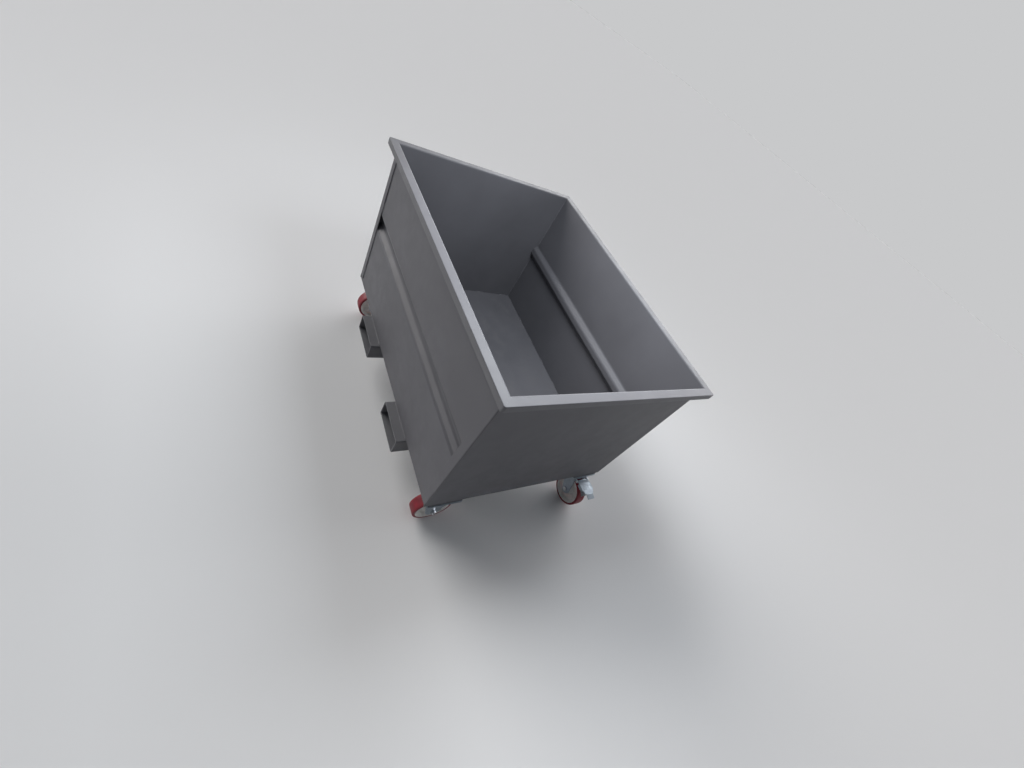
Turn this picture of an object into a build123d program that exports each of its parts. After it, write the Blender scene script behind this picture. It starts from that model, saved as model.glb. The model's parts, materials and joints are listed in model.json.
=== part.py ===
from build123d import *
import os

# Steel waste bin on four castors, with fork pockets under its floor.
#
# Frame: millimetres, +Z up, X along the bin's length, Y across it.  The origin is on the floor,
# midway between the ends and midway between the sides of the whole bin.
# The front side (-Y) carries the two fixed castors, the back side (+Y) the two swivel castors.

os.makedirs("parts", exist_ok=True)

# ---- driving dimensions ---------------------------------------------------------------

# castor wheels
wheel_d = 150.0
wheel_w = 46.0
axle_z = wheel_d / 2
castor_height = 188.0
pad_t = 8.0

# bin body
body_length = 1200.0  # over the rim
body_width = 896.0  # over the rim
body_height = 634.0  # top of the rim to the underside of the floor
sheet = 3.0
rim_w = 33.0
rim_h = 24.0
rim_corner_r = 8.0  # rounding of the rim's four outer corners, seen from above
rim_edge_r = 2.5  # rounding along the rim's outer top edge
tube_wall = 3.0
tube_corner = 3.5
fold_r = 4.5  # outside radius of the folds

floor_z = castor_height + pad_t
rim_z = floor_z + body_height
inner_x = body_length / 2 - rim_w
inner_y = body_width / 2 - rim_w
outer_x = inner_x + sheet
outer_y = inner_y + sheet
tube_z = rim_z - rim_h
flange_z = rim_z - sheet

# pressed bead along both long sides: depths below the top of the rim
bead_depth = 20.0
bead_upper_crease = 281.0
bead_upper_plateau = 303.0
bead_lower_plateau = 328.0
bead_lower_crease = 350.0
bead_r = 16.0

# end panels wrap round the long sides
lap = 34.0
lap_cut = 12.0  # height of the corner notch under each lap
lap_cut_rise = 7.0  # the notch is this much higher at the lap's free edge

clear = 1.0  # how far a cutting shape reaches past what it cuts

# fork pockets
pocket_x = 227.0
pocket_w = 180.0
pocket_h = 75.0
pocket_wall = 4.0
pocket_r = 6.0
pocket_overhang = 38.0
pocket_length = 2 * (outer_y + pocket_overhang)

# castor plates and their bolts
plate_long = 138.0
plate_short = 110.0
plate_t = 5.0
plate_r = 8.0
bolt_long = 105.0
bolt_short = 80.0
bolt_r = 5.0
bolt_hole_r = 5.5
bolt_af = 17.0
bolt_head_h = 6.4
head_chamfer = 0.8
bolt_reach = 7.5
washer_r = 9.5
washer_t = 1.6
pad_inset = 4.0
plate_z = castor_height - plate_t

# castor positions
castor_x = 520.0
castor_y = 338.0
trail = 53.0

# wheel
tread_t = 10.0
hub_len = 50.0
hub_bore_r = 12.5
hub_r = 1.5  # small roundings of the hub
web_r = 4.0  # roundings where the web meets the boss and the rim
tread_r = 5.0
core_rim_t = 8.0
core_draft = 2.0
web_t = 14.0
boss_r = 24.0
boss_draft = 3.0
bearing_r = 17.5
bearing_w = 11.0
running_gap = 0.05

# axle bolts and the spacer tubes that the bearings run on
axle_r = 6.0
tube_r = 8.5
axle_af = 19.0
axle_head_h = 7.5
axle_nut_h = 10.0
axle_tail = 3.0
axle_chamfer = 1.2

# forks
leg_t = 4.0
leg_gap = 52.0
leg_out = leg_gap / 2 + leg_t
leg_foot = 6.0
fixed_leg_half = 60.0
fixed_boss_r = 28.0
swivel_boss_r = 22.0

# swivel head
race_r = 38.0
race_h = 12.0
ball_r = 3.5
ball_ring_r = 30.0
ball_count = 24
cage_t = 2.4
skirt_h = 6.0
king_r = 7.0
king_head_r = 11.0
king_head_h = 3.0
king_nut_af = 19.0
king_nut_h = 6.5
cage_half = 2.0
crown_r = 41.0
crown_t = 5.0
crown_gap = 0.5
web_front = 28.0
web_back = 46.0
race_z = plate_z - race_h
crown_z = race_z - 2 * ball_r - crown_t

# brake: a bracket on the fork carries a foot pedal on a pin; lengths are from the swivel axis
ear_t = 3.0
ear_r = 6.0
bracket_in = 40.5
bracket_out = 52.0
pin_x_off = 62.0
pin_z = 161.5
pin_r = 3.0
pin_head_t = 2.0
pin_head_r = 5.0
knuckle_r = 5.5
knuckle_half = 29.0
pedal_t = 3.0
pedal_root = 4.0  # overlap of the knuckle's arm and the pedal plate
pedal_top = 170.0
pedal_from = 74.0
pedal_step = 112.0
pedal_bend = 126.0
pedal_to = 150.0
pedal_wide = 64.0
pedal_mid = 50.0
pedal_tab = 36.0
pedal_drop = 5.0
pedal_skirt = 14.0
shoe_from = 80.0
shoe_to = 96.0
shoe_wide = 42.0
shoe_z = 151.5
band_t = 3.0
band_r = 77.5  # mid radius of the band that closes on the tyre
band_x_off = 71.2  # its centre while the pedal is up
band_from = 50.0  # its ends, in degrees above the horizontal
band_to = 84.0


# ---- helpers --------------------------------------------------------------------------


def save(builder, name):
    """Label a finished piece and write it to its own file."""
    builder.part.label = name
    export_step(builder.part, f"parts/{name}.step")


def hexagon(across_flats):
    """Circumradius of a hexagon of this width across its flats."""
    return across_flats / 3**0.5


def cut_mitres(across, plane_z, height):
    """Cut both ends of the open builder's rim member at 45 degrees, and round the rim's corners.

    across is "x" for a member that runs along X, and "y" for one that runs along Y.
    """
    near = (inner_x - rim_w, inner_y - rim_w)
    far = (body_length / 2 + clear, body_width / 2 + clear)
    corner = (far[0], near[1]) if across == "x" else (near[0], far[1])
    with BuildSketch(Plane.XY.offset(plane_z)) as wedges:
        Rectangle(2 * far[0], 2 * far[1])
        RectangleRounded(body_length, body_width, rim_corner_r, mode=Mode.SUBTRACT)
        for sx in (-1, 1):
            for sy in (-1, 1):
                with BuildLine():
                    Polyline(
                        (sx * near[0], sy * near[1]),
                        (sx * corner[0], sy * corner[1]),
                        (sx * far[0], sy * far[1]),
                        close=True,
                    )
                make_face()
    extrude(wedges.sketch, amount=height, mode=Mode.SUBTRACT)


# ---- bin body: floor ------------------------------------------------------------------

with BuildPart() as floor_plate:
    with BuildSketch(Plane.XY.offset(floor_z)):
        Rectangle(2 * inner_x, 2 * outer_y)
    extrude(amount=sheet)
save(floor_plate, "floor_plate")

# ---- bin body: long side panels with a pressed bead and a folded top edge -----------------

wall_mid = inner_y + sheet / 2
bead_mid = wall_mid - bead_depth
fold_mid = flange_z + sheet / 2

# an edge on top of the rim is an outer one if its middle is further out than this
rim_edge_x = body_length / 2 - rim_corner_r / 2
rim_edge_y = body_width / 2 - rim_corner_r / 2

for name, side in (("front", -1), ("back", 1)):
    with BuildPart() as long_panel:
        with BuildSketch(Plane.YZ.offset(-body_length / 2)):
            with BuildLine():
                FilletPolyline(
                    (side * wall_mid, floor_z + sheet),
                    (side * wall_mid, rim_z - bead_lower_crease),
                    (side * bead_mid, rim_z - bead_lower_plateau),
                    (side * bead_mid, rim_z - bead_upper_plateau),
                    (side * wall_mid, rim_z - bead_upper_crease),
                    (side * wall_mid, fold_mid),
                    (side * body_width / 2, fold_mid),
                    radius=[bead_r, bead_r, bead_r, bead_r, fold_r - sheet / 2],
                )
            trace(line_width=sheet)
        extrude(amount=body_length)
        with Locations((0, 0, floor_z)):
            for sx in (-1, 1):
                with Locations((sx * (inner_x + rim_w), side * inner_y, 0)):
                    Box(
                        2 * rim_w,
                        4 * rim_w,
                        flange_z - floor_z,
                        align=(Align.CENTER, Align.CENTER, Align.MIN),
                        mode=Mode.SUBTRACT,
                    )
        cut_mitres("x", flange_z, 2 * sheet)
        top_edges = long_panel.edges().group_by(Axis.Z)[-1]
        fillet([e for e in top_edges if abs(e.center().Y) > rim_edge_y], rim_edge_r)
    save(long_panel, f"{name}_panel")

# ---- bin body: end panels, lapped round the long sides ------------------------------------

end_mid = inner_x + sheet / 2
lap_y = outer_y + sheet
cut_top = floor_z + lap_cut

for name, side in (("left", -1), ("right", 1)):
    with BuildPart() as end_panel:
        with BuildSketch(Plane.XY.offset(floor_z)) as section:
            with Locations((side * (outer_x - lap / 2), 0)):
                Rectangle(lap, 2 * lap_y)
            corners = section.vertices().group_by(Axis.X)[-1 if side > 0 else 0]
            fillet(corners, fold_r)
            with Locations((side * (inner_x - lap / 2), 0)):
                Rectangle(lap, 2 * outer_y, mode=Mode.SUBTRACT)
        extrude(amount=tube_z - floor_z)
        with BuildSketch(Plane.XZ.offset(-lap_y - clear)):
            with BuildLine():
                Polyline(
                    (side * (outer_x - lap - clear), floor_z - clear),
                    (side * (inner_x - clear), floor_z - clear),
                    (side * (inner_x - clear), cut_top),
                    (side * (outer_x - lap - clear), cut_top + lap_cut_rise),
                    close=True,
                )
            make_face()
        extrude(amount=2 * (lap_y + clear), mode=Mode.SUBTRACT)
        with BuildSketch(Plane.XZ.offset(-body_width / 2)):
            with BuildLine():
                FilletPolyline(
                    (side * end_mid, tube_z),
                    (side * end_mid, fold_mid),
                    (side * body_length / 2, fold_mid),
                    radius=fold_r - sheet / 2,
                )
            trace(line_width=sheet)
        extrude(amount=body_width)
        for sy in (-1, 1):
            with Locations((side * inner_x, sy * (outer_y + rim_w), tube_z)):
                Box(
                    4 * rim_w,
                    2 * rim_w,
                    rim_h - sheet,
                    align=(Align.CENTER, Align.CENTER, Align.MIN),
                    mode=Mode.SUBTRACT,
                )
        cut_mitres("y", flange_z, 2 * sheet)
        top_edges = end_panel.edges().group_by(Axis.Z)[-1]
        fillet([e for e in top_edges if abs(e.center().X) > rim_edge_x], rim_edge_r)
    save(end_panel, f"{name}_end_panel")

# ---- rim: four mitred hollow tubes under the folded top edges -----------------------------

tube_w = rim_w - sheet
tube_h = rim_h - sheet


def tube_section(side):
    """Section of a rim tube in the open sketch; its outer top corner, under the flange, is square."""
    outline = Rectangle(tube_w, tube_h)
    inner_top, outer_top = outline.vertices().group_by(Axis.Y)[-1].sort_by(Axis.X)[::side]
    fillet([*outline.vertices().group_by(Axis.Y)[0], inner_top], tube_corner)
    Rectangle(tube_w - 2 * tube_wall, tube_h - 2 * tube_wall, mode=Mode.SUBTRACT)


for name, side in (("front", -1), ("back", 1)):
    with BuildPart() as rim_tube:
        with BuildSketch(Plane.YZ.offset(-body_length / 2)):
            with Locations((side * (outer_y + tube_w / 2), tube_z + tube_h / 2)):
                tube_section(side)
        extrude(amount=body_length)
        cut_mitres("x", tube_z - clear, rim_h)
    save(rim_tube, f"{name}_rim_tube")

for name, side in (("left", -1), ("right", 1)):
    with BuildPart() as rim_tube:
        with BuildSketch(Plane.XZ.offset(-body_width / 2)):
            with Locations((side * (outer_x + tube_w / 2), tube_z + tube_h / 2)):
                tube_section(side)
        extrude(amount=body_width)
        cut_mitres("y", tube_z - clear, rim_h)
    save(rim_tube, f"{name}_rim_tube")

# ---- fork pockets: rectangular sleeves across the underside -------------------------------

for name, side in (("left", -1), ("right", 1)):
    with BuildPart() as fork_pocket:
        with BuildSketch(Plane.XZ.offset(-pocket_length / 2)):
            with Locations((side * pocket_x, floor_z - pocket_h / 2)):
                RectangleRounded(pocket_w, pocket_h, pocket_r)
                RectangleRounded(
                    pocket_w - 2 * pocket_wall,
                    pocket_h - 2 * pocket_wall,
                    pocket_r - pocket_wall,
                    mode=Mode.SUBTRACT,
                )
        extrude(amount=pocket_length)
    save(fork_pocket, f"{name}_fork_pocket")

# ---- castor pads: tapped plates welded under the floor ------------------------------------

castors = [(sx * castor_x, sy * castor_y) for sx in (-1, 1) for sy in (-1, 1)]

with BuildPart() as castor_pads:
    with BuildSketch(Plane.XY.offset(castor_height)):
        with Locations(*castors):
            Rectangle(plate_short - 2 * pad_inset, plate_long - 2 * pad_inset)
    extrude(amount=pad_t)
    with BuildSketch(Plane.XY.offset(castor_height)):
        with Locations(*castors):
            with GridLocations(bolt_short, bolt_long, 2, 2):
                Circle(bolt_r)
    extrude(amount=pad_t, mode=Mode.SUBTRACT)
save(castor_pads, "castor_pads")

# ---- bolts and washers that hold the castor plates ----------------------------------------

with BuildPart() as plate_washers:
    with BuildSketch(Plane.XY.offset(plate_z - washer_t)):
        with Locations(*castors):
            with GridLocations(bolt_short, bolt_long, 2, 2):
                Circle(washer_r)
                Circle(bolt_r, mode=Mode.SUBTRACT)
    extrude(amount=washer_t)
save(plate_washers, "plate_washers")

with BuildPart() as plate_bolts:
    with BuildSketch(Plane.XY.offset(plate_z - washer_t - bolt_head_h)):
        with Locations(*castors):
            with GridLocations(bolt_short, bolt_long, 2, 2):
                RegularPolygon(hexagon(bolt_af), 6)
    extrude(amount=bolt_head_h)
    chamfer(plate_bolts.faces().sort_by(Axis.Z)[: 4 * len(castors)].edges(), head_chamfer)
    with BuildSketch(Plane.XY.offset(plate_z - washer_t)):
        with Locations(*castors):
            with GridLocations(bolt_short, bolt_long, 2, 2):
                Circle(bolt_r)
    extrude(amount=washer_t + plate_t + bolt_reach)
save(plate_bolts, "plate_bolts")


# ---- castors: pieces shared by all four ---------------------------------------------------


def make_wheel(prefix, centre, along):
    """Hub, tyre and bearings of a wheel whose axle runs along X ("x") or along Y ("y")."""
    radial, normal = ((0, 1, 0), (0, 0, -1)) if along == "x" else ((1, 0, 0), (0, 0, 1))
    section = Plane(origin=centre, x_dir=radial, z_dir=normal)
    axle = Axis(centre, section.y_dir)
    tread_in = wheel_d / 2 - tread_t
    half_hub = hub_len / 2
    half_rim = wheel_w / 2
    seat = half_hub - bearing_w
    bearing_mid = (bearing_r + tube_r + running_gap) / 2
    shoulder = (hub_r, web_r, web_r, hub_r)

    with BuildPart() as hub:
        with BuildSketch(section):
            with BuildLine():
                FilletPolyline(
                    (hub_bore_r, -seat),
                    (bearing_r, -seat),
                    (bearing_r, -half_hub),
                    (boss_r, -half_hub),
                    (boss_r + boss_draft, -web_t / 2),
                    (tread_in - core_rim_t - core_draft, -web_t / 2),
                    (tread_in - core_rim_t, -half_rim),
                    (tread_in, -half_rim),
                    (tread_in, half_rim),
                    (tread_in - core_rim_t, half_rim),
                    (tread_in - core_rim_t - core_draft, web_t / 2),
                    (boss_r + boss_draft, web_t / 2),
                    (boss_r, half_hub),
                    (bearing_r, half_hub),
                    (bearing_r, seat),
                    (hub_bore_r, seat),
                    radius=[0, 0, 0, *shoulder, 0, 0, *shoulder, 0, 0, 0],
                    close=True,
                )
            make_face()
        revolve(axis=axle)
    save(hub, f"{prefix}_wheel_hub")

    with BuildPart() as tyre:
        with BuildSketch(section):
            with BuildLine():
                FilletPolyline(
                    (tread_in, -half_rim),
                    (wheel_d / 2, -half_rim),
                    (wheel_d / 2, half_rim),
                    (tread_in, half_rim),
                    radius=[0, tread_r, tread_r, 0],
                    close=True,
                )
            make_face()
        revolve(axis=axle)
    save(tyre, f"{prefix}_wheel_tyre")

    with BuildPart() as bearings:
        with BuildSketch(section):
            for sy in (-1, 1):
                with Locations((bearing_mid, sy * (half_hub - bearing_w / 2))):
                    Rectangle(bearing_r - tube_r - running_gap, bearing_w)
        revolve(axis=axle)
    save(bearings, f"{prefix}_wheel_bearings")


def make_axle(prefix, centre, along):
    """Bolt, nut and spacer tube of a wheel; the nut is at the end with the higher X or Y."""
    direction = (1, 0, 0) if along == "x" else (0, 1, 0)
    across = Plane(origin=centre, x_dir=(0, 0, 1), z_dir=direction)

    with BuildPart() as bolt:
        with BuildSketch(across.offset(-leg_out - axle_head_h)):
            RegularPolygon(hexagon(axle_af), 6)
        extrude(amount=axle_head_h)
        chamfer(bolt.faces().sort_by(Axis(centre, direction))[0].edges(), head_chamfer)
        with BuildSketch(across.offset(-leg_out)):
            Circle(axle_r)
        extrude(amount=2 * leg_out + axle_nut_h + axle_tail)
        chamfer(bolt.faces().sort_by(Axis(centre, direction))[-1].edges(), axle_chamfer)
    save(bolt, f"{prefix}_axle_bolt")

    with BuildPart() as nut:
        with BuildSketch(across.offset(leg_out)):
            RegularPolygon(hexagon(axle_af), 6)
            Circle(axle_r, mode=Mode.SUBTRACT)
        extrude(amount=axle_nut_h)
    save(nut, f"{prefix}_axle_nut")

    with BuildPart() as spacer:
        with BuildSketch(across.offset(-leg_gap / 2)):
            Circle(tube_r)
            Circle(axle_r, mode=Mode.SUBTRACT)
        extrude(amount=leg_gap)
    save(spacer, f"{prefix}_axle_spacer")


# ---- fixed castors, on the front side: the wheels roll along Y ----------------------------

for name, side in (("left", -1), ("right", 1)):
    prefix = f"front_{name}"
    x = side * castor_x
    y = -castor_y
    centre = (x, y, axle_z)

    with BuildPart() as fixed_fork:
        with BuildSketch(Plane.XY.offset(plate_z)):
            with Locations((x, y)):
                RectangleRounded(plate_short, plate_long, plate_r)
                with GridLocations(bolt_short, bolt_long, 2, 2):
                    Circle(bolt_hole_r, mode=Mode.SUBTRACT)
        extrude(amount=plate_t)
        for sx in (-1, 1):
            leg_start = x + sx * (leg_gap / 2 + leg_t / 2) - leg_t / 2
            with BuildSketch(Plane.YZ.offset(leg_start)):
                with Locations((y, axle_z)):
                    Circle(fixed_boss_r)
                with Locations((y, plate_z - leg_foot / 2)):
                    Rectangle(2 * fixed_leg_half, leg_foot)
                make_hull()
                with Locations((y, axle_z)):
                    Circle(axle_r, mode=Mode.SUBTRACT)
            extrude(amount=leg_t)
    save(fixed_fork, f"{prefix}_castor_fork")

    make_wheel(prefix, centre, "x")
    make_axle(prefix, centre, "x")

# ---- swivel castors with brakes, on the back side: stored trailing outwards ---------------

for name, side in (("left", -1), ("right", 1)):
    prefix = f"back_{name}"
    x = side * castor_x
    y = castor_y
    centre = (x + side * trail, y, axle_z)
    pin_x = x + side * pin_x_off

    with BuildPart() as swivel_plate:
        with BuildSketch(Plane.XY.offset(plate_z)):
            with Locations((x, y)):
                RectangleRounded(plate_short, plate_long, plate_r)
                with GridLocations(bolt_short, bolt_long, 2, 2):
                    Circle(bolt_hole_r, mode=Mode.SUBTRACT)
        extrude(amount=plate_t)
        with BuildSketch(Plane.XY.offset(race_z)):
            with Locations((x, y)):
                Circle(race_r)
        extrude(amount=race_h)
        with BuildSketch(Plane.XY.offset(race_z - skirt_h)):
            with Locations((x, y)):
                Circle(race_r)
                Circle(race_r - leg_t, mode=Mode.SUBTRACT)
        extrude(amount=skirt_h)
        with BuildSketch(Plane.XY.offset(race_z - skirt_h)):
            with Locations((x, y)):
                Circle(king_r)
        extrude(amount=castor_height, mode=Mode.SUBTRACT)
        with BuildSketch(Plane.XY.offset(castor_height - king_head_h)):
            with Locations((x, y)):
                Circle(king_head_r)
        extrude(amount=king_head_h, mode=Mode.SUBTRACT)
    save(swivel_plate, f"{prefix}_castor_plate")

    with BuildPart() as king_pin:
        with BuildSketch(Plane.XY.offset(castor_height - king_head_h)):
            with Locations((x, y)):
                Circle(king_head_r)
        extrude(amount=king_head_h)
        with BuildSketch(Plane.XY.offset(crown_z - crown_gap - king_nut_h)):
            with Locations((x, y)):
                Circle(king_r)
        extrude(amount=castor_height - crown_z + crown_gap + king_nut_h)
        with BuildSketch(Plane.XY.offset(crown_z - crown_gap - king_nut_h)):
            with Locations((x, y)):
                RegularPolygon(hexagon(king_nut_af), 6)
        extrude(amount=king_nut_h)
    save(king_pin, f"{prefix}_king_pin")

    with BuildPart() as ball_cage:
        with BuildSketch(Plane.XY.offset(race_z - ball_r - cage_t / 2)):
            with Locations((x, y)):
                Circle(ball_ring_r + cage_half)
                Circle(ball_ring_r - cage_half, mode=Mode.SUBTRACT)
        extrude(amount=cage_t)
        with Locations((x, y, race_z - ball_r)):
            with PolarLocations(ball_ring_r, ball_count):
                Sphere(ball_r - running_gap)
    save(ball_cage, f"{prefix}_ball_cage")

    with BuildPart() as swivel_fork:
        with BuildSketch(Plane.XY.offset(crown_z)):
            with Locations((x, y)):
                Circle(crown_r)
            with Locations((x + side * (web_back - web_front) / 2, y)):
                Rectangle(web_back + web_front, 2 * leg_out)
            with Locations((x, y)):
                Circle(king_r + running_gap, mode=Mode.SUBTRACT)
        extrude(amount=crown_t)
        for sy in (-1, 1):
            leg_start = -(y + sy * (leg_gap / 2 + leg_t / 2) + leg_t / 2)
            with BuildSketch(Plane.XZ.offset(leg_start)):
                with Locations((centre[0], axle_z)):
                    Circle(swivel_boss_r)
                with Locations((x + side * (web_back - web_front) / 2, crown_z + crown_t / 2)):
                    Rectangle(web_back + web_front, crown_t)
                make_hull()
                with Locations((centre[0], axle_z)):
                    Circle(axle_r, mode=Mode.SUBTRACT)
            extrude(amount=leg_t)
    save(swivel_fork, f"{prefix}_castor_fork")

    make_wheel(prefix, centre, "y")
    make_axle(prefix, centre, "y")

    with BuildPart() as brake_bracket:
        bridge_x = x + side * (bracket_in + bracket_out) / 2
        with BuildSketch(Plane.XY.offset(crown_z + crown_t)):
            with Locations((bridge_x, y)):
                Rectangle(bracket_out - bracket_in, 2 * (leg_out + ear_t))
        extrude(amount=ear_t)
        for sy in (-1, 1):
            with BuildSketch(Plane.XZ.offset(-y - sy * (leg_out + ear_t / 2))):
                with Locations((pin_x, pin_z)):
                    Circle(ear_r)
                with Locations((bridge_x, crown_z + crown_t - ear_r / 2)):
                    Rectangle(bracket_out - bracket_in, ear_r + 2 * ear_t)
                make_hull()
                with Locations((pin_x, pin_z)):
                    Circle(pin_r, mode=Mode.SUBTRACT)
            extrude(amount=ear_t / 2, both=True)
    save(brake_bracket, f"{prefix}_brake_bracket")

    with BuildPart() as brake_pin:
        with BuildSketch(Plane.XZ.offset(-y)):
            with Locations((pin_x, pin_z)):
                Circle(pin_r)
        extrude(amount=leg_out + ear_t, both=True)
        for sy in (-1, 1):
            with BuildSketch(Plane.XZ.offset(-y - sy * (leg_out + ear_t + pin_head_t / 2))):
                with Locations((pin_x, pin_z)):
                    Circle(pin_head_r)
            extrude(amount=pin_head_t / 2, both=True)
    save(brake_pin, f"{prefix}_brake_pin")

    with BuildPart() as brake_pedal:
        with BuildSketch(Plane.XZ.offset(-y)):
            with Locations((pin_x, pin_z)):
                Circle(knuckle_r)
            with BuildLine():
                Polyline(
                    (pin_x, pin_z),
                    (pin_x, pin_z + knuckle_r),
                    (x + side * (pedal_from + pedal_root), pedal_top),
                    (x + side * (pedal_from + pedal_root), pedal_top - pedal_t),
                    close=True,
                )
            make_face()
            with Locations((pin_x, pin_z)):
                Circle(pin_r + running_gap, mode=Mode.SUBTRACT)
        extrude(amount=knuckle_half, both=True)
        with BuildSketch(Plane.XY.offset(pedal_top - pedal_t)):
            with Locations((x + side * (pedal_from + pedal_step) / 2, y)):
                RectangleRounded(pedal_step - pedal_from, pedal_wide, pedal_t)
            with Locations((x + side * (pedal_step - pedal_t + pedal_bend) / 2, y)):
                RectangleRounded(pedal_bend - pedal_step + pedal_t, pedal_mid, pedal_t)
        extrude(amount=pedal_t)
        with BuildSketch(Plane.XZ.offset(-y)):
            with BuildLine():
                FilletPolyline(
                    (x + side * (pedal_bend - 2 * pedal_t), pedal_top - pedal_t / 2),
                    (x + side * (pedal_bend + pedal_t), pedal_top - pedal_t / 2),
                    (x + side * pedal_to, pedal_top - pedal_t / 2 - pedal_drop),
                    radius=pedal_t,
                )
            trace(line_width=pedal_t)
        extrude(amount=pedal_tab / 2, both=True)
        for sy in (-1, 1):
            with BuildSketch(Plane.XZ.offset(-y - sy * (pedal_wide - pedal_t) / 2)):
                with BuildLine():
                    Polyline(
                        (x + side * (pedal_from + pedal_t), pedal_top - pedal_t / 2),
                        (x + side * (pedal_step - pedal_t), pedal_top - pedal_t / 2),
                        (x + side * (pedal_step - pedal_t), pedal_top - pedal_skirt / 2),
                        (x + side * (pedal_step - pedal_skirt), pedal_top - pedal_skirt),
                        (x + side * (pedal_from + pedal_t), pedal_top - pedal_skirt),
                        close=True,
                    )
                make_face()
            extrude(amount=pedal_t / 2, both=True)
    save(brake_pedal, f"{prefix}_brake_pedal")

    with BuildPart() as brake_shoe:
        with BuildSketch(Plane.XZ.offset(-y)):
            with Locations((x + side * (shoe_from + shoe_to) / 2, (pedal_top - pedal_t + shoe_z) / 2)):
                Rectangle(shoe_to - shoe_from, pedal_top - pedal_t - shoe_z)
            with BuildLine():
                CenterArc(
                    (x + side * band_x_off, axle_z),
                    band_r,
                    band_from if side > 0 else 180 - band_to,
                    band_to - band_from,
                )
            trace(line_width=band_t)
        extrude(amount=shoe_wide / 2, both=True)
    save(brake_shoe, f"{prefix}_brake_shoe")
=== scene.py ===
"""Looks for the steel waste bin: paint, plating, welds, wheels, brakes, light and camera.

Everything is in metres in the CAD frame: +Z up, X along the bin, Y across it.
"""

import json
import math

import bmesh
import bpy
from mathutils import Matrix, Vector, noise


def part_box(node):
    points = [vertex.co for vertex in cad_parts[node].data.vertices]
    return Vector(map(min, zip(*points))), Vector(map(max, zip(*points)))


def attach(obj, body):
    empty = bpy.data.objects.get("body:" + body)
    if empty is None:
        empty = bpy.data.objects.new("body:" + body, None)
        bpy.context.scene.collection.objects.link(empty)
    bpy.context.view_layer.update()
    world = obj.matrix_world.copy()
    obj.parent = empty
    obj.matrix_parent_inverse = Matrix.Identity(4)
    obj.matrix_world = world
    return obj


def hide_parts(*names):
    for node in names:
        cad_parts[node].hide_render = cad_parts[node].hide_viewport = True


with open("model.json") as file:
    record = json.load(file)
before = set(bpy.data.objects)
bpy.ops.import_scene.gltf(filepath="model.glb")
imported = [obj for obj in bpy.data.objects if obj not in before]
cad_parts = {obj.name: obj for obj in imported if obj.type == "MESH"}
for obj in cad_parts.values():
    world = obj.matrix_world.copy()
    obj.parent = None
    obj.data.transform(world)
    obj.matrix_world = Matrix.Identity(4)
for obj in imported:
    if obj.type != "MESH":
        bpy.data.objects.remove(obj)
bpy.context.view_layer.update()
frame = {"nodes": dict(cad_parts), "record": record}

MM = 0.001
SIDES = (("left", -1), ("right", 1))
BIN = "bin"

# ---- sizes read from the frame --------------------------------------------------------

floor_low, floor_high = (Vector(corner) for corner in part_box("floor_plate"))
end_low, end_high = (Vector(corner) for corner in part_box("right_end_panel"))
TUBE_UNDER = Vector(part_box("back_rim_tube")[0]).z
pocket_low, pocket_high = (Vector(corner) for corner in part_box("right_fork_pocket"))

SHEET = 3 * MM
FLOOR_TOP = floor_high.z
FLOOR_UNDER = floor_low.z
RIM_TOP = end_high.z
INNER_X = floor_high.x
OUTER_Y = floor_high.y
INNER_Y = OUTER_Y - SHEET
OUTER_X = INNER_X + SHEET
LAP = OUTER_X - end_low.x

# heights on the walls, and one depth, that the boxes do not give
BEAD_UNDER = 0.472
BEAD_TOP = 0.556
DUST_NONE = 0.42
DUST_FULL = 0.20
# how far below the rim tubes the painted shade band reaches
RIM_SHADE_DEPTH = 13 * MM


# ---- node helpers ---------------------------------------------------------------------


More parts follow.
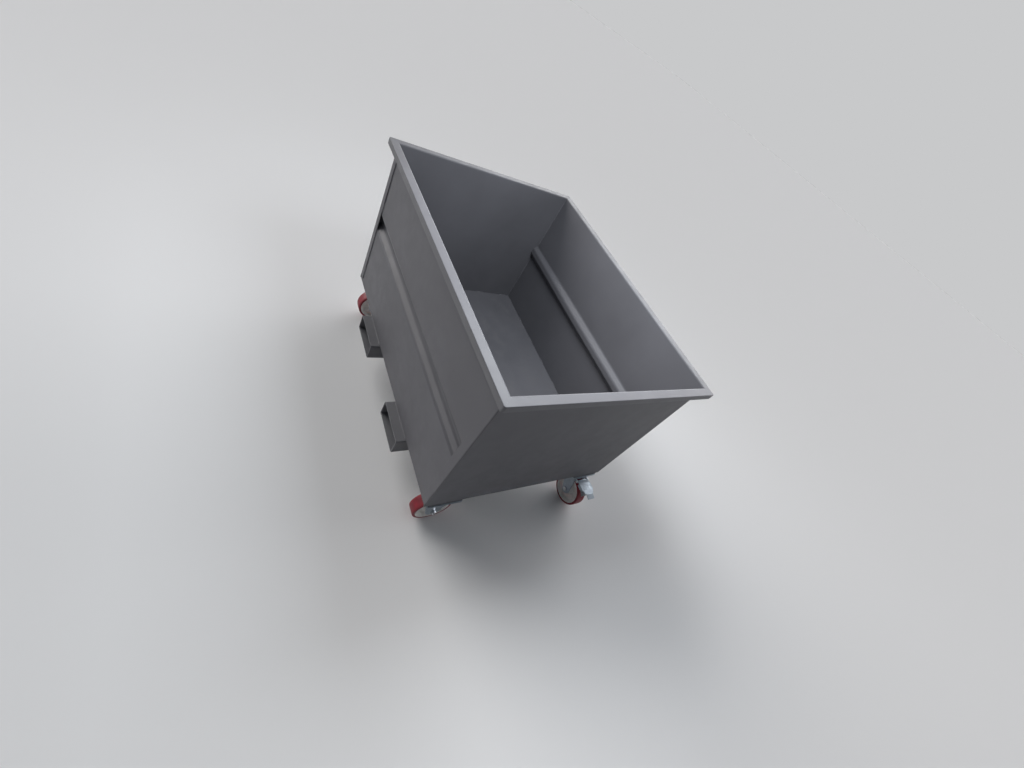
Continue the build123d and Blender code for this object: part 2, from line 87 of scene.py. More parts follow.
class Graph:
    """A material's node tree, with short calls that add and join nodes."""

    def __init__(self, name):
        self.material = bpy.data.materials.new(name)
        self.material.use_nodes = True
        self.nodes = self.material.node_tree.nodes
        self.links = self.material.node_tree.links
        self.shader = self.nodes["Principled BSDF"]
        self.place = self.add("ShaderNodeTexCoord").outputs["Object"]

    def add(self, kind, **values):
        node = self.nodes.new(kind)
        for key, value in values.items():
            setattr(node, key, value)
        return node

    def put(self, value, socket):
        """Feed a socket from another socket, or set its constant."""
        if isinstance(value, bpy.types.NodeSocket):
            self.links.new(value, socket)
        else:
            socket.default_value = value

    def math(self, operation, a, b=0.0, clamp=False):
        node = self.add("ShaderNodeMath", operation=operation, use_clamp=clamp)
        self.put(a, node.inputs[0])
        self.put(b, node.inputs[1])
        return node.outputs[0]

    def noise(self, scale, detail=4.0, roughness=0.55, stretch=(1, 1, 1), place=None):
        """Noise in 0..1 over the object's own position, scale in cycles per metre."""
        mapping = self.add("ShaderNodeMapping")
        mapping.inputs["Scale"].default_value = stretch
        self.links.new(place or self.place, mapping.inputs["Vector"])
        node = self.add("ShaderNodeTexNoise")
        node.inputs["Scale"].default_value = scale
        node.inputs["Detail"].default_value = detail
        node.inputs["Roughness"].default_value = roughness
        self.links.new(mapping.outputs[0], node.inputs["Vector"])
        return node.outputs["Fac"]

    def ramp(self, value, low, high, out_low=0.0, out_high=1.0, smooth=True):
        """Map low..high to out_low..out_high, held at both ends."""
        node = self.add("ShaderNodeMapRange", clamp=True)
        node.interpolation_type = "SMOOTHSTEP" if smooth else "LINEAR"
        self.put(value, node.inputs["Value"])
        node.inputs["From Min"].default_value = low
        node.inputs["From Max"].default_value = high
        node.inputs["To Min"].default_value = out_low
        node.inputs["To Max"].default_value = out_high
        return node.outputs["Result"]

    def mix(self, factor, a, b):
        """Blend two colours."""
        node = self.add("ShaderNodeMix", data_type="RGBA")
        self.put(factor, node.inputs["Factor"])
        self.put(colour(a), node.inputs["A"])
        self.put(colour(b), node.inputs["B"])
        return node.outputs["Result"]

    def bump(self, height, distance, strength=1.0, normal=None):
        node = self.add("ShaderNodeBump")
        node.inputs["Distance"].default_value = distance
        node.inputs["Strength"].default_value = strength
        self.put(height, node.inputs["Height"])
        if normal is not None:
            self.put(normal, node.inputs["Normal"])
        return node.outputs["Normal"]

    def edges(self, radius, low=0.985, high=0.93):
        """1 on edges that are sharper than their surroundings, 0 on flats."""
        bevel = self.add("ShaderNodeBevel", samples=4)
        bevel.inputs["Radius"].default_value = radius
        true_normal = self.add("ShaderNodeNewGeometry").outputs["Normal"]
        dot = self.add("ShaderNodeVectorMath", operation="DOT_PRODUCT")
        self.links.new(bevel.outputs[0], dot.inputs[0])
        self.links.new(true_normal, dot.inputs[1])
        return self.ramp(dot.outputs["Value"], low, high)

    def axis(self, name):
        """One coordinate of the position."""
        split = self.add("ShaderNodeSeparateXYZ")
        self.links.new(self.place, split.inputs[0])
        return split.outputs[name]

    def outside(self):
        """1 on faces that look away from the bin's upright middle line, 0 on the rest."""
        flat = self.add("ShaderNodeVectorMath", operation="MULTIPLY")
        self.links.new(self.place, flat.inputs[0])
        flat.inputs[1].default_value = (1.0, 1.0, 0.0)
        dot = self.add("ShaderNodeVectorMath", operation="DOT_PRODUCT")
        self.links.new(flat.outputs["Vector"], dot.inputs[0])
        self.links.new(self.add("ShaderNodeNewGeometry").outputs["Normal"], dot.inputs[1])
        return self.ramp(dot.outputs["Value"], 0.01, 0.05)

    def set(self, **sockets):
        for key, value in sockets.items():
            self.put(value, self.shader.inputs[key.replace("_", " ")])


def colour(value):
    """A tuple of three as an opaque colour; anything else unchanged."""
    return (*value, 1.0) if isinstance(value, tuple) and len(value) == 3 else value


# ---- materials ------------------------------------------------------------------------

PAINT = (0.112, 0.111, 0.121)
PAINT_DARK = (0.101, 0.100, 0.109)
PAINT_LIGHT = (0.124, 0.123, 0.134)
PAINT_RUBBED = (0.165, 0.165, 0.175)
# a lighter copy of the wall paint for the rim tubes and fork pockets: painted light, standing
# in for the light those parts catch
LIT_TUBE_PAINT = (0.140, 0.141, 0.150)
LIT_TUBE_PAINT_DARK = (0.122, 0.122, 0.131)
DUST = (0.27, 0.25, 0.22)
BARE = (0.36, 0.36, 0.37)
# the colour of the painted shade under the rim tubes, standing in for the shadow of their
# overhang
RIM_SHADE = (0.040, 0.039, 0.040)


def paint_base(name, dark, middle, light, shade_under_rim):
    """Semi-gloss grey paint with sprayed mottling, dust and rubbed edges.

    With the under-rim flag set, painted shade darkens the outside of the walls just below the
    rim tubes.
    """
    g = Graph(name)
    broad = g.noise(2.2, 3.0, 0.5)
    cloud = g.noise(17.0, 5.0, 0.6)
    speck = g.noise(420.0, 2.0, 0.6)
    runs = g.noise(9.0, 4.0, 0.6, stretch=(3.0, 3.0, 0.35))
    tone = g.mix(g.ramp(broad, 0.3, 0.7), dark, light)
    tone = g.mix(g.ramp(cloud, 0.35, 0.75, 0.0, 0.55), tone, middle)
    tone = g.mix(g.ramp(runs, 0.56, 0.80, 0.0, 0.22), tone, dark)
    tone = g.mix(g.ramp(speck, 0.66, 0.78, 0.0, 0.18), tone, light)
    # painted shade: a dark band on the outside walls just under the rim tubes, standing in for
    # the shadow the tubes cast
    if shade_under_rim:
        height = g.axis("Z")
        rim_shade_band = g.ramp(height, TUBE_UNDER - RIM_SHADE_DEPTH, TUBE_UNDER, 0.0, 0.60)
        on_wall = g.ramp(height, TUBE_UNDER + 2 * MM, TUBE_UNDER + 3 * MM, 1.0, 0.0)
        corner = g.math("MULTIPLY", rim_shade_band, g.math("MULTIPLY", on_wall, g.outside()))
        tone = g.mix(corner, tone, RIM_SHADE)
    low_down = g.ramp(g.axis("Z"), DUST_NONE, DUST_FULL)
    dust = g.math("MULTIPLY", low_down, g.ramp(cloud, 0.45, 0.80, 0.0, 0.07))
    tone = g.mix(dust, tone, DUST)
    scuff = g.noise(95.0, 6.0, 0.7, stretch=(1.0, 1.0, 0.25))
    rubbed = g.math("MULTIPLY", g.edges(1.6 * MM), g.ramp(scuff, 0.50, 0.66), clamp=True)
    tone = g.mix(g.math("MULTIPLY", rubbed, 0.55), tone, BARE)
    rough = g.ramp(cloud, 0.3, 0.75, 0.44, 0.53)
    rough = g.math("ADD", rough, g.math("MULTIPLY", dust, 0.7))
    rough = g.math("ADD", rough, g.ramp(speck, 0.5, 0.8, 0.0, 0.05), clamp=True)
    wavy = g.bump(g.noise(3.1, 2.0, 0.4), 1.4 * MM, 0.35)
    peel = g.bump(g.noise(260.0, 2.0, 0.5), 0.12 * MM, 0.30, wavy)
    g.set(Base_Color=tone, Roughness=rough, Normal=peel)
    g.shader.inputs["Specular IOR Level"].default_value = 0.28
    return g.material


def make_zinc(name, base, dark, rough_low, rough_high, spangle=60.0):
    """Bright zinc plating on pressed steel: clouded, faintly brushed, a little stained."""
    g = Graph(name)
    cloud = g.noise(spangle, 4.0, 0.6)
    brush = g.noise(900.0, 2.0, 0.5, stretch=(1.0, 0.08, 1.0))
    stain = g.noise(24.0, 5.0, 0.7)
    tone = g.mix(g.ramp(cloud, 0.3, 0.72), dark, base)
    tone = g.mix(g.ramp(stain, 0.60, 0.80, 0.0, 0.5), tone, (0.33, 0.31, 0.29))
    stained = g.ramp(stain, 0.55, 0.8, 0.0, 0.2)
    rough = g.math("ADD", g.ramp(cloud, 0.3, 0.8, rough_low, rough_high), stained)
    normal = g.bump(brush, 0.05 * MM, 0.35)
    normal = g.bump(cloud, 0.25 * MM, 0.25, normal)
    g.set(Base_Color=tone, Roughness=rough, Normal=normal)
    g.shader.inputs["Metallic"].default_value = 0.88
    return g.material


def make_tread(name):
    """Cast dark red polyurethane with a dusty running face."""
    g = Graph(name)
    grain = g.noise(150.0, 5.0, 0.6)
    smear = g.noise(32.0, 4.0, 0.65)
    tone = g.mix(g.ramp(smear, 0.3, 0.7), (0.15, 0.006, 0.013), (0.25, 0.011, 0.022))
    tone = g.mix(g.ramp(grain, 0.60, 0.82, 0.0, 0.35), tone, (0.14, 0.08, 0.075))
    rough = g.ramp(smear, 0.3, 0.7, 0.42, 0.58)
    normal = g.bump(g.noise(700.0, 3.0, 0.6), 0.10 * MM, 0.5)
    g.set(Base_Color=tone, Roughness=rough, Normal=normal)
    return g.material


def make_core(name):
    """Off-white moulded polyamide, greyed by handling."""
    g = Graph(name)
    grime = g.noise(46.0, 5.0, 0.65)
    fleck = g.noise(520.0, 3.0, 0.6)
    tone = g.mix(g.ramp(grime, 0.35, 0.75), (0.76, 0.74, 0.71), (0.58, 0.56, 0.53))
    tone = g.mix(g.ramp(fleck, 0.66, 0.8, 0.0, 0.4), tone, (0.30, 0.28, 0.26))
    rough = g.ramp(grime, 0.3, 0.75, 0.38, 0.58)
    normal = g.bump(g.noise(380.0, 3.0, 0.5), 0.08 * MM, 0.4)
    g.set(Base_Color=tone, Roughness=rough, Normal=normal)
    g.shader.inputs["Subsurface Weight"].default_value = 0.04
    return g.material


def make_weld(name):
    """Painted weld: slightly paler paint over a coarse ripple."""
    g = Graph(name)
    cloud = g.noise(120.0, 4.0, 0.6)
    tone = g.mix(g.ramp(cloud, 0.35, 0.7), PAINT_LIGHT, PAINT_RUBBED)
    normal = g.bump(g.noise(500.0, 3.0, 0.6), 0.2 * MM, 0.5)
    g.set(Base_Color=tone, Roughness=g.ramp(cloud, 0.3, 0.7, 0.40, 0.55), Normal=normal)
    return g.material


# the walls' paint carries the painted shade under the rim tubes
paint = paint_base("painted_steel", PAINT_DARK, PAINT, PAINT_LIGHT, True)
lit_tube_paint = paint_base("tube_paint_painted_light", LIT_TUBE_PAINT_DARK, LIT_TUBE_PAINT, PAINT_RUBBED, False)
weld_paint = make_weld("painted_weld")
zinc_plate = make_zinc("zinc_plate", (0.47, 0.53, 0.59), (0.39, 0.44, 0.49), 0.30, 0.42)
zinc_hardware = make_zinc(
    "zinc_hardware", (0.74, 0.75, 0.77), (0.60, 0.61, 0.62), 0.16, 0.26, 140.0
)
bearing_steel = make_zinc(
    "bearing_steel", (0.40, 0.40, 0.41), (0.25, 0.25, 0.26), 0.30, 0.45, 200.0
)
tread = make_tread("tread")
wheel_core = make_core("wheel_core")

BY_SLOT = {
    "painted_steel": paint,
    "zinc_plate": zinc_plate,
    "zinc_hardware": zinc_hardware,
    "tread": tread,
    "wheel_core": wheel_core,
    "bearing_steel": bearing_steel,
}
slot_of = {part["node"]: part["material_slot"] for part in frame["record"]["subparts"]}

# a small rounded edge on every CAD piece that stays in view
EDGE = {
    "painted_steel": 0.5 * MM,
    "zinc_plate": 0.6 * MM,
    "zinc_hardware": 0.4 * MM,
    "bearing_steel": 0.4 * MM,
}


def dress(node, obj):
    """Give a CAD node its material and break its sharp edges."""
    is_tube = node.endswith(("rim_tube", "fork_pocket"))
    # rim tubes and fork pockets take the lighter copy of the paint, which is painted light
    material = lit_tube_paint if is_tube else BY_SLOT[slot_of[node]]
    obj.data.materials.clear()
    obj.data.materials.append(material)
    width = EDGE.get(slot_of[node])
    if width is None:
        return
    joined = obj.modifiers.new("joined", "WELD")
    joined.merge_threshold = 0.01 * MM
    bevel = obj.modifiers.new("edges", "BEVEL")
    bevel.width = width
    bevel.segments = 2
    bevel.limit_method = "ANGLE"
    bevel.angle_limit = math.radians(40)
    bevel.use_clamp_overlap = True
    bevel.harden_normals = True


for node, obj in frame["nodes"].items():
    dress(node, obj)


# ---- mesh helpers ---------------------------------------------------------------------


def new_piece(name, mesh, material, body, smooth=True):
    """Put a finished mesh in the scene, in the row frame, riding on a body."""
    mesh.materials.append(material)
    if smooth:
        mesh.shade_smooth()
    obj = bpy.data.objects.new(name, mesh)
    bpy.context.scene.collection.objects.link(obj)
    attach(obj, body)
    return obj


def lathe(profile, origin, axis, segments=96):
    """Turn closed (radius, along) points about an axle; returns a mesh."""
    axis = Vector(axis).normalized()
    side = axis.orthogonal().normalized()
    other = axis.cross(side)
    mesh = bpy.data.meshes.new("lathe")
    points, faces = [], []
    count = len(profile)
    for step in range(segments):
        angle = math.tau * step / segments
        spoke = side * math.cos(angle) + other * math.sin(angle)
        points += [origin + spoke * radius + axis * along for radius, along in profile]
    for step in range(segments):
        this, after = step * count, (step + 1) % segments * count
        for k in range(count):
            follow = (k + 1) % count
            faces.append((this + k, this + follow, after + follow, after + k))
    mesh.from_pydata([tuple(p) for p in points], [], faces)
    outward(mesh)
    return mesh


def outward(mesh):
    """Turn every face of a closed mesh outwards."""
    work = bmesh.new()
    work.from_mesh(mesh)
    bmesh.ops.recalc_face_normals(work, faces=work.faces)
    work.to_mesh(mesh)
    work.free()


def rounded(points, radius, steps=4):
    """A closed outline with each corner replaced by an arc; radius may be one per corner."""
    out = []
    count = len(points)
    radii = radius if isinstance(radius, (list, tuple)) else [radius] * count
    for k in range(count):
        here = Vector(points[k])
        before = Vector(points[k - 1]) - here
        after = Vector(points[(k + 1) % count]) - here
        if radii[k] <= 0:
            out.append(tuple(here))
            continue
        half = before.angle(after) / 2
        reach = min(radii[k] / math.tan(half), 0.49 * before.length, 0.49 * after.length)
        arc = reach * math.tan(half)
        inward = (before.normalized() + after.normalized()).normalized()
        middle = here + inward * arc / math.sin(half)
        first = here + before.normalized() * reach - middle
        last = here + after.normalized() * reach - middle
        turn = math.atan2(first.x * last.y - first.y * last.x, first.dot(last))
        for step in range(steps + 1):
            angle = turn * step / steps
            cos, sin = math.cos(angle), math.sin(angle)
            x = middle.x + first.x * cos - first.y * sin
            y = middle.y + first.x * sin + first.y * cos
            out.append((x, y))
    return out


def weld_mesh(work, start, end, face_a, face_b, leg=3.0 * MM, pitch=3.4 * MM, seed=0.0):
    """Add a rippled fillet weld to a bmesh.

    It lies in the corner of two faces whose outward directions are face_a and face_b.
    """
    start, end = Vector(start), Vector(end)
    run = end - start
    length = run.length
    along = run.normalized()
    a, b = Vector(face_a).normalized(), Vector(face_b).normalized()
    steps = max(6, int(length / pitch) * 4)
    arc = 5
    rings = []
    for step in range(steps + 1):
        t = step / steps
        distance = t * length
        ripple = (distance / pitch + 0.25 * noise.noise(Vector((distance * 60, seed, 0)))) % 1.0
        uneven = noise.noise(Vector((distance * 45, seed + 7, 3)))
        size = leg * (0.88 + 0.16 * (1.0 - ripple) + 0.10 * uneven)
        ends = min(distance, length - distance) / (2.0 * leg)
        size *= 0.35 + 0.65 * min(1.0, math.sqrt(max(ends, 0.0)))
        centre = start + along * distance
        ring = []
        for k in range(arc + 1):
            angle = math.pi / 2 * k / arc
            bulge = 1.0 + 0.10 * math.sin(2 * angle)
            lean = along * (0.35 * pitch * math.sin(2 * angle))
            reach = (a * math.sin(angle) + b * math.cos(angle)) * size * bulge * 0.8
            ring.append(work.verts.new(centre + reach + lean))
        ring.append(work.verts.new(centre - (a + b) * 0.3 * MM))
        rings.append(ring)
    count = len(rings[0])
    for first, second in zip(rings, rings[1:]):
        for k in range(count):
            follow = (k + 1) % count
            work.faces.new((first[k], first[follow], second[follow], second[k]))
    work.faces.new(list(reversed(rings[0])))
    work.faces.new(rings[-1])


def weld_run(name, lines, body=BIN, leg=3.0 * MM):
    """One piece holding several welds; each line is (start, end, face_a, face_b)."""
    work = bmesh.new()
    for index, line in enumerate(lines):
        weld_mesh(work, *line, leg=leg, seed=index * 3.7)
    bmesh.ops.recalc_face_normals(work, faces=work.faces)
    mesh = bpy.data.meshes.new(name)
    work.to_mesh(mesh)
    work.free()
    return new_piece(name, mesh, weld_paint, body)


def stitches(low, high, length, pitch):
    """Starts and ends of evenly spaced short welds between two limits."""
    room = high - low
    count = max(1, int((room - length) // pitch) + 1)
    first = low + (room - (count - 1) * pitch - length) / 2
    return [(first + k * pitch, first + k * pitch + length) for k in range(count)]


# ---- welds ----------------------------------------------------------------------------

STITCH = 38 * MM
STITCH_PITCH = 150 * MM

corner_lines = []
for sx in (-1, 1):
    for sy in (-1, 1):
        for low, high in ((FLOOR_TOP, BEAD_UNDER), (BEAD_TOP, RIM_TOP - 8 * MM)):
            spot = (sx * INNER_X, sy * INNER_Y)
            corner_lines.append(((*spot, low), (*spot, high), (-sx, 0, 0), (0, -sy, 0)))
weld_run("inside_corner_welds", corner_lines, leg=2.2 * MM)

floor_lines = []
for sy in (-1, 1):
    for low, high in stitches(-INNER_X, INNER_X, STITCH, STITCH_PITCH):
        y = sy * INNER_Y
        line = ((low, y, FLOOR_TOP), (high, y, FLOOR_TOP), (0, 0, 1), (0, -sy, 0))
        floor_lines.append(line)
for sx in (-1, 1):
    for low, high in stitches(-INNER_Y, INNER_Y, STITCH, STITCH_PITCH):
        x = sx * INNER_X
        line = ((x, low, FLOOR_TOP), (x, high, FLOOR_TOP), (0, 0, 1), (-sx, 0, 0))
        floor_lines.append(line)
weld_run("inside_floor_welds", floor_lines, leg=2.8 * MM)

pocket_lines = []
for sx in (-1, 1):
    for edge in (pocket_low.x, pocket_high.x):
        out = 1 if edge == pocket_high.x else -1
        x = sx * edge
        side = sx * out
        for low, high in stitches(-OUTER_Y + 20 * MM, OUTER_Y - 20 * MM, 60 * MM, 190 * MM):
            inset = x - side * 3 * MM
            start, finish = (inset, low, FLOOR_UNDER), (inset, high, FLOOR_UNDER)
            pocket_lines.append((start, finish, (0, 0, -1), (side, 0, 0)))
    for sy in (-1, 1):
        ends = sorted((sx * pocket_low.x, sx * pocket_high.x))
        y = sy * OUTER_Y
        start = (ends[0] + 10 * MM, y, FLOOR_UNDER)
        finish = (ends[1] - 10 * MM, y, FLOOR_UNDER)
        pocket_lines.append((start, finish, (0, 0, 1), (0, sy, 0)))
weld_run("fork_pocket_welds", pocket_lines, leg=3.6 * MM)

rim_lines = []
for sy in (-1, 1):
    for low, high in stitches(-OUTER_X + 45 * MM, OUTER_X - 45 * MM, STITCH, 170 * MM):
        y = sy * OUTER_Y
        rim_lines.append(((low, y, TUBE_UNDER), (high, y, TUBE_UNDER), (0, 0, -1), (0, sy, 0)))
for sx in (-1, 1):
    for low, high in stitches(-OUTER_Y + 10 * MM, OUTER_Y - 10 * MM, STITCH, 170 * MM):
        x = sx * OUTER_X
        rim_lines.append(((x, low, TUBE_UNDER), (x, high, TUBE_UNDER), (0, 0, -1), (sx, 0, 0)))
weld_run("rim_underside_welds", rim_lines, leg=2.8 * MM)

LAP_WELDS = ((0.225, 0.285), (0.40, 0.46), (0.565, 0.60), (0.785, TUBE_UNDER))

lap_lines = []
for sx in (-1, 1):
    for sy in (-1, 1):
        x = sx * (OUTER_X - LAP)
        y = sy * OUTER_Y
        for low, high in LAP_WELDS:
            lap_lines.append(((x, y, low), (x, y, high), (0, sy, 0), (-sx, 0, 0)))
weld_run("lap_welds", lap_lines, leg=2.4 * MM)

PAD_WELD_X = 0.035
PAD_WELD_Y = 0.05

pad_lines = []
plate_box = [Vector(corner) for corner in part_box("back_right_castor_plate")]
pad_half_x = (plate_box[1].x - plate_box[0].x) / 2 - 4 * MM
pad_half_y = (plate_box[1].y - plate_box[0].y) / 2 - 4 * MM
castor_x = (plate_box[1].x + plate_box[0].x) / 2
castor_y = (plate_box[1].y + plate_box[0].y) / 2
for sx in (-1, 1):
    for sy in (-1, 1):
        x, y = sx * castor_x, sy * castor_y
        for edge in (-1, 1):
            ex, ey = x + edge * pad_half_x, y + edge * pad_half_y
            if abs(ex) < INNER_X:
                start = (ex, y - PAD_WELD_Y, FLOOR_UNDER)
                finish = (ex, y + PAD_WELD_Y, FLOOR_UNDER)
                pad_lines.append((start, finish, (0, 0, -1), (edge, 0, 0)))
            if abs(ey) < OUTER_Y - 4 * MM:
                start = (x - PAD_WELD_X, ey, FLOOR_UNDER)
                finish = (x + PAD_WELD_X, ey, FLOOR_UNDER)
                pad_lines.append((start, finish, (0, 0, -1), (0, edge, 0)))
weld_run("castor_pad_welds", pad_lines, leg=3.4 * MM)


# ---- wheels ---------------------------------------------------------------------------


def axle_of(prefix):
    """Centre, axle direction and the wheel's own radius and half width, from the CAD boxes."""
    low, high = (Vector(corner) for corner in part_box(f"{prefix}_wheel_tyre"))
    size = high - low
    axis = Vector((1, 0, 0)) if size.x < size.y else Vector((0, 1, 0))
    return (low + high) / 2, axis, size.z / 2, min(size.x, size.y) / 2


def make_wheel(prefix):
    """A crowned tyre, a dished core and two bearing shields, all turned about the axle."""
    centre, axis, radius, half = axle_of(prefix)
    body = f"{prefix}_wheel"
    tread_in = radius - 10 * MM
    line = 0.25 * MM

    tyre_outline = rounded(
        [
            (tread_in, -half),
            (radius - 0.6 * MM, -half),
            (radius - line, -half * 0.55),
            (radius - line, half * 0.55),
            (radius - 0.6 * MM, half),
            (tread_in, half),
        ],
        [0.4 * MM, 5.0 * MM, 20 * MM, 20 * MM, 5.0 * MM, 0.4 * MM],
        6,
    )
    tyre_mesh = lathe(tyre_outline, centre, axis, 128)
    tyre = new_piece(f"{prefix}_tyre_skin", tyre_mesh, tread, body)
    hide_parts(f"{prefix}_wheel_tyre")

    hub_half = 25 * MM
    boss = 24 * MM
    seat = 17.5 * MM
    web = 7 * MM
    rim_in = tread_in - 8 * MM
    core_outline = rounded(
        [
            (12.5 * MM, -hub_half + 11 * MM),
            (seat, -hub_half + 11 * MM),
            (seat, -hub_half),
            (boss, -hub_half),
            (boss + 3 * MM, -web),
            (rim_in - 2 * MM, -web),
            (rim_in, -half + 0.6 * MM),
            (tread_in - 0.2 * MM, -half + 0.6 * MM),
            (tread_in - 0.2 * MM, half - 0.6 * MM),
            (rim_in, half - 0.6 * MM),
            (rim_in - 2 * MM, web),
            (boss + 3 * MM, web),
            (boss, hub_half),
            (seat, hub_half),
            (seat, hub_half - 11 * MM),
            (12.5 * MM, hub_half - 11 * MM),
        ],
        [0, 0, 0.8 * MM, 1.8 * MM, 4 * MM, 4 * MM, 1.5 * MM, 0.3 * MM]
        + [0.3 * MM, 1.5 * MM, 4 * MM, 4 * MM, 1.8 * MM, 0.8 * MM, 0, 0],
        4,
    )
    core_mesh = lathe(core_outline, centre, axis, 128)
    core = new_piece(f"{prefix}_core_skin", core_mesh, wheel_core, body)
    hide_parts(f"{prefix}_wheel_hub")

    for face in (-1, 1):
        shield = rounded(
            [
                (8.7 * MM, 0),
                (8.7 * MM, 1.3 * MM),
                (10.2 * MM, 1.3 * MM),
                (11.0 * MM, 0.6 * MM),
                (15.4 * MM, 0.6 * MM),
                (16.0 * MM, 1.1 * MM),
                (17.3 * MM, 1.1 * MM),
                (17.3 * MM, 0),
            ],
            0.25 * MM,
            3,
        )
        flipped = [(r, face * (hub_half - 1.2 * MM + a)) for r, a in shield]
        name = f"{prefix}_bearing_shield_{'outer' if face > 0 else 'inner'}"
        new_piece(name, lathe(flipped, centre, axis, 64), bearing_steel, body)


for end in ("front", "back"):
    for name, sx in SIDES:
        make_wheel(f"{end}_{name}")


# ---- brake pedals: pressed grip ribs --------------------------------------------------


def ridge(work, middle, across, up, half_length, half_width, height):
    """A low rib with a rounded top and sloped ends, on a flat face."""
    side = across.cross(up).normalized()
    steps = 8
    arc = 6
    rings = []
    for step in range(steps + 1):
        t = -1.0 + 2.0 * step / steps
        lift = height * min(1.0, 3.0 * (1.0 - abs(t)) + 0.05)
        ring = []
        for k in range(arc + 1):
            angle = math.pi * k / arc
            rise = lift * math.sin(angle) - 0.2 * MM
            offset = side * (half_width * math.cos(angle)) + up * rise
            ring.append(work.verts.new(middle + across * (t * half_length) + offset))
        rings.append(ring)
    count = len(rings[0])
    for first, second in zip(rings, rings[1:]):
        for k in range(count):
            follow = (k + 1) % count
            work.faces.new((first[k], first[follow], second[follow], second[k]))
    work.faces.new(list(reversed(rings[0])))
    work.faces.new(rings[-1])


def finish_mesh(work, name):
    """Turn a bmesh's faces outwards, store it as a mesh and free it."""
    bmesh.ops.recalc_face_normals(work, faces=work.faces)
    mesh = bpy.data.meshes.new(name)
    work.to_mesh(mesh)
    work.free()
    return mesh


# pedal ribs, in mm: how far out the cross ribs and the side ribs' middles are from the
# pedal's inner end, and how far the side ribs are from its middle line
CROSS_RIBS = (27, 34, 41, 48)
SIDE_RIB_AT = 37
SIDE_RIB_OUT = 27.5

for name, sx in SIDES:
    low, high = (Vector(corner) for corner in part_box(f"back_{name}_brake_pedal"))
    middle_y = (low.y + high.y) / 2
    inner = low.x if sx > 0 else high.x
    up = Vector((0, 0, 1))
    across = Vector((0, 1, 0))
    work = bmesh.new()
    for offset in CROSS_RIBS:
        place = Vector((inner + sx * offset * MM, middle_y, high.z))
        ridge(work, place, across, up, 22 * MM, 1.6 * MM, 1.1 * MM)
    for offset in (-1, 1):
        side_y = middle_y + offset * SIDE_RIB_OUT * MM
        place = Vector((inner + sx * SIDE_RIB_AT * MM, side_y, high.z))
        ridge(work, place, Vector((1, 0, 0)), up, 12 * MM, 1.4 * MM, 0.9 * MM)
    mesh = finish_mesh(work, f"back_{name}_pedal_grip")
    new_piece(f"back_{name}_pedal_grip", mesh, zinc_plate, f"back_{name}_brake")


# ---- floor, light and camera ----------------------------------------------------------

FLOOR_GREY = (0.72, 0.72, 0.72, 1.0)
REACH = 40.0

floor_graph = Graph("studio_floor")
floor_graph.set(Base_Color=FLOOR_GREY, Roughness=0.85)
floor_graph.shader.inputs["Specular IOR Level"].default_value = 0.0
floor_mesh = bpy.data.meshes.new("studio_floor")
floor_corners = [(-REACH, -REACH, 0), (REACH, -REACH, 0), (REACH, REACH, 0), (-REACH, REACH, 0)]
floor_mesh.from_pydata(floor_corners, [], [(0, 1, 2, 3)])
floor_mesh.materials.append(floor_graph.material)
floor = bpy.data.objects.new("studio_floor", floor_mesh)
bpy.context.scene.collection.objects.link(floor)

# a pale backdrop that only the camera sees, so that it adds no light
BACKDROP_RADIUS = 55.0
BACKDROP_GREY = (0.578, 0.583, 0.591, 1.0)
dome = bmesh.new()
bmesh.ops.create_uvsphere(dome, u_segments=48, v_segments=24, radius=BACKDROP_RADIUS)
dome_mesh = bpy.data.meshes.new("studio_backdrop")
dome.to_mesh(dome_mesh)
dome.free()
dome_mesh.shade_smooth()
dome_graph = Graph("studio_backdrop")
dome_graph.set(Base_Color=(0.0, 0.0, 0.0, 1.0), Emission_Color=BACKDROP_GREY)
dome_graph.shader.inputs["Emission Strength"].default_value = 1.0
dome_graph.shader.inputs["Specular IOR Level"].default_value = 0.0
dome_mesh.materials.append(dome_graph.material)
backdrop = bpy.data.objects.new("studio_backdrop", dome_mesh)
backdrop.visible_diffuse = False
backdrop.visible_glossy = False
backdrop.visible_transmission = False
backdrop.visible_volume_scatter = False
backdrop.visible_shadow = False
bpy.context.scene.collection.objects.link(backdrop)


def sun_light(name, toward, strength, spread, tint):
    """A very soft, distant light; toward points from the bin to the light."""
    light = bpy.data.lights.new(name, "SUN")
    light.energy = strength
    light.angle = math.radians(spread)
    light.color = tint
    obj = bpy.data.objects.new(name, light)
    obj.rotation_euler = Vector(toward).to_track_quat("Z", "Y").to_euler()
    bpy.context.scene.collection.objects.link(obj)


KEY_TOWARD = (-0.80, -0.46, 0.46)
KEY_STRENGTH = 2.7
KEY_SPREAD = 45.0
KEY_TINT = (1.0, 0.985, 0.97)

sun_light("key", KEY_TOWARD, KEY_STRENGTH, KEY_SPREAD, KEY_TINT)

# a lamp above the mouth that lights the inside; the camera does not see it
OVERHEAD_AT = (0.12, -0.05, 1.50)
OVERHEAD_WATTS = 15.0

overhead = bpy.data.lights.new("overhead", "AREA")
overhead.shape = "RECTANGLE"
overhead.size = 0.6
overhead.size_y = 0.45
overhead.energy = OVERHEAD_WATTS
overhead.color = (0.90, 0.95, 1.0)
overhead_box = bpy.data.objects.new("overhead", overhead)
overhead_box.location = OVERHEAD_AT
overhead_box.visible_camera = False
bpy.context.scene.collection.objects.link(overhead_box)

# a dim sky with one bright patch low on the far side, which the rim reflects
SKY_TOWARD = (-0.423, 0.906, 0.0)
SKY_LOW = (0.13, 0.14, 0.155)
SKY_HIGH = (5.4, 5.4, 5.5)
SKY_FLATTEN = (1.0, 1.0, 1.7)
PATCH_EDGE = 0.50
PATCH_FULL = 0.85

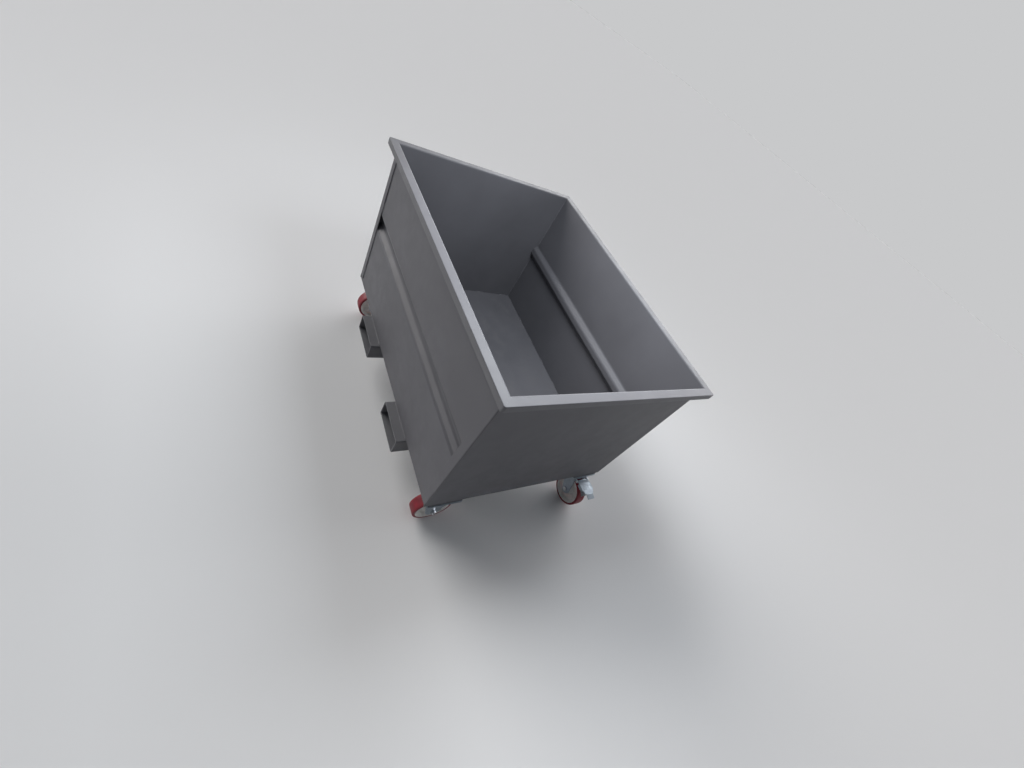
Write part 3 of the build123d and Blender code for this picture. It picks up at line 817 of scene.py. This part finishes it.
world = bpy.data.worlds.new("studio")
world.use_nodes = True
sky_nodes = world.node_tree.nodes
sky_links = world.node_tree.links
direction = sky_nodes.new("ShaderNodeTexCoord").outputs["Generated"]
facing = sky_nodes.new("ShaderNodeVectorMath")
facing.operation = "DOT_PRODUCT"
facing.inputs[1].default_value = Vector(SKY_TOWARD).normalized()
flattened = sky_nodes.new("ShaderNodeVectorMath")
flattened.operation = "MULTIPLY"
flattened.inputs[1].default_value = SKY_FLATTEN
sky_links.new(direction, flattened.inputs[0])
unit = sky_nodes.new("ShaderNodeVectorMath")
unit.operation = "NORMALIZE"
sky_links.new(flattened.outputs["Vector"], unit.inputs[0])
sky_links.new(unit.outputs["Vector"], facing.inputs[0])
spread = sky_nodes.new("ShaderNodeMapRange")
spread.interpolation_type = "SMOOTHSTEP"
spread.inputs["From Min"].default_value = PATCH_EDGE
spread.inputs["From Max"].default_value = PATCH_FULL
sky_links.new(facing.outputs["Value"], spread.inputs["Value"])
sky = sky_nodes.new("ShaderNodeMix")
sky.data_type = "RGBA"
sky_links.new(spread.outputs["Result"], sky.inputs["Factor"])
sky.inputs["A"].default_value = (*SKY_LOW, 1.0)
sky.inputs["B"].default_value = (*SKY_HIGH, 1.0)
sky_links.new(sky.outputs["Result"], sky_nodes["Background"].inputs["Color"])
bpy.context.scene.world = world

CAMERA_AT = Vector((1.0198, -0.9863, 1.4944))
CAMERA_FORWARD = Vector((-0.4809, 0.5815, -0.6562))
CAMERA_RIGHT = Vector((0.3598, 0.8134, 0.4571))
LENS = 14.715  # on a 36 mm wide sensor

camera_data = bpy.data.cameras.new("camera")
camera_data.sensor_width = 36.0
camera_data.lens = LENS
camera_data.clip_start = 0.02
camera_data.clip_end = 200.0
camera = bpy.data.objects.new("camera", camera_data)
back = -CAMERA_FORWARD.normalized()
right = CAMERA_RIGHT.normalized()
up = back.cross(right)
turned = Matrix((right, up, back)).transposed().to_4x4()
camera.matrix_world = Matrix.Translation(CAMERA_AT) @ turned
bpy.context.scene.collection.objects.link(camera)
bpy.context.scene.camera = camera
bpy.context.scene.view_settings.view_transform = "Standard"
